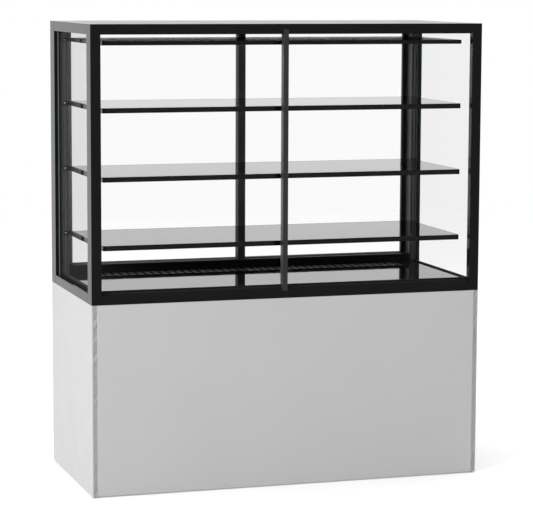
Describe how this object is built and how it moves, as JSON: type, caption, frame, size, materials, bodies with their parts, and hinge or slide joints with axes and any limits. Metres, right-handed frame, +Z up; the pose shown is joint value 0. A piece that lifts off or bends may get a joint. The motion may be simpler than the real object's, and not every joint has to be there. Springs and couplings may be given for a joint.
{
  "type": "refrigerated deli case",
  "caption": "Upright glass display case with black square frame, dark glossy shelves, rear sliding doors and a plain light grey plinth that holds the cooling unit.",
  "frame": {"origin": "centre of the footprint, on the floor", "axes": "+X to the customer's right, +Y from the front glass to the rear doors, +Z up"},
  "size_m": [1.2, 0.54, 1.37],
  "materials": {
    "frame_black": "glossy black powder coat",
    "top_black": "glossy black sheet",
    "pull_clear": "satin anodised",
    "pull_dark": "black anodised",
    "seal_rubber": "matt black",
    "pane_glass": "clear, polished",
    "shelf_gloss": "mirror gloss black",
    "deck_gloss": "gloss dark grey",
    "grille_dark": "satin black",
    "light_diffuser": "opal, frosted",
    "arm_steel": "satin black",
    "plinth_paint": "satin light grey powder coat",
    "galvanised": "galvanised sheet",
    "foot_plastic": "black, moulded",
    "screw_steel": "bright plated",
    "foam": "rigid foam",
    "liner_steel": "brushed stainless",
    "fin_aluminium": "plain fins",
    "machine_black": "black enamel",
    "fan_plastic": "black, moulded",
    "copper": "drawn copper",
    "control_plastic": "black, fine grain",
    "button_plastic": "grey, moulded"
  },
  "bodies": {
    "cabinet": {"front_post_left": "frame_black", "front_post_right": "frame_black", "rear_post_left": "frame_black", "rear_post_right": "frame_black", "front_top_rail": "frame_black", "front_bottom_rail": "frame_black", "side_rails": "frame_black", "rear_top_rail": "frame_black", "rear_sill": "frame_black", "front_mullion": "frame_black", "upright_left": "frame_black", "upright_right": "frame_black", "top_panel": "top_black", "glass_seals": "seal_rubber", "front_glass_left": "pane_glass", "front_glass_right": "pane_glass", "side_glass_left": "pane_glass", "side_glass_right": "pane_glass", "shelf_lower": "shelf_gloss", "shelf_middle": "shelf_gloss", "shelf_upper": "shelf_gloss", "canopy_shelf": "shelf_gloss", "deck_panel": "deck_gloss", "air_grilles": "grille_dark", "light_strips": "light_diffuser", "shelf_arms": "arm_steel", "plinth_front_panel": "plinth_paint", "plinth_side_panel_left": "plinth_paint", "plinth_side_panel_right": "plinth_paint", "base_frame": "plinth_paint", "rear_service_panel": "plinth_paint", "rear_control_panel": "plinth_paint", "base_pan": "galvanised", "evaporation_tray": "galvanised", "evaporator_fan_plate": "galvanised", "electrical_box": "galvanised", "levelling_feet": "foot_plastic", "cable_gland": "foot_plastic", "screws": "screw_steel", "well_insulation": "foam", "well_liner": "liner_steel", "evaporator_coil": "fin_aluminium", "condenser_coil": "fin_aluminium", "compressor": "machine_black", "condenser_shroud": "machine_black", "evaporator_fan_motor": "machine_black", "refrigerant_pipes": "copper", "controller": "control_plastic"},
    "rear_door_left": {"door_frame_left": "frame_black", "door_glass_left": "pane_glass", "door_pull_left": "pull_clear"},
    "rear_door_right": {"door_frame_right": "frame_black", "door_glass_right": "pane_glass", "door_pull_right": "pull_dark"},
    "evaporator_rotor": {"evaporator_fan": "fan_plastic"},
    "condenser_rotor": {"condenser_fan": "fan_plastic"},
    "power_rocker": {"power_switch": "control_plastic"},
    "light_rocker": {"light_switch": "control_plastic"},
    "up_button": {"button_up": "button_plastic"},
    "down_button": {"button_down": "button_plastic"}
  },
  "joints": [
    {"name": "left_door_slide", "type": "slide", "parent": "cabinet", "child": "rear_door_left", "axis": [1, 0, 0], "range_m": [0, 0.545]},
    {"name": "right_door_slide", "type": "slide", "parent": "cabinet", "child": "rear_door_right", "axis": [-1, 0, 0], "range_m": [0, 0.55]},
    {"name": "evaporator_fan_spin", "type": "hinge", "parent": "cabinet", "child": "evaporator_rotor", "pos_m": [0, -0.076, 0.518], "axis": [0, 1, 0], "continuous": true},
    {"name": "condenser_fan_spin", "type": "hinge", "parent": "cabinet", "child": "condenser_rotor", "pos_m": [0.22, 0.141, 0.19], "axis": [0, 1, 0], "continuous": true},
    {"name": "power_switch_rock", "type": "hinge", "parent": "cabinet", "child": "power_rocker", "pos_m": [0.33, 0.265, 0.49], "axis": [-1, 0, 0], "range_deg": [0, 19]},
    {"name": "light_switch_rock", "type": "hinge", "parent": "cabinet", "child": "light_rocker", "pos_m": [0.37, 0.265, 0.49], "axis": [-1, 0, 0], "range_deg": [0, 19]},
    {"name": "up_button_press", "type": "slide", "parent": "cabinet", "child": "up_button", "axis": [0, -1, 0], "range_m": [0, 0.0006], "stiffness_N_per_m": 500},
    {"name": "down_button_press", "type": "slide", "parent": "cabinet", "child": "down_button", "axis": [0, -1, 0], "range_m": [0, 0.0006], "stiffness_N_per_m": 500}
  ]
}
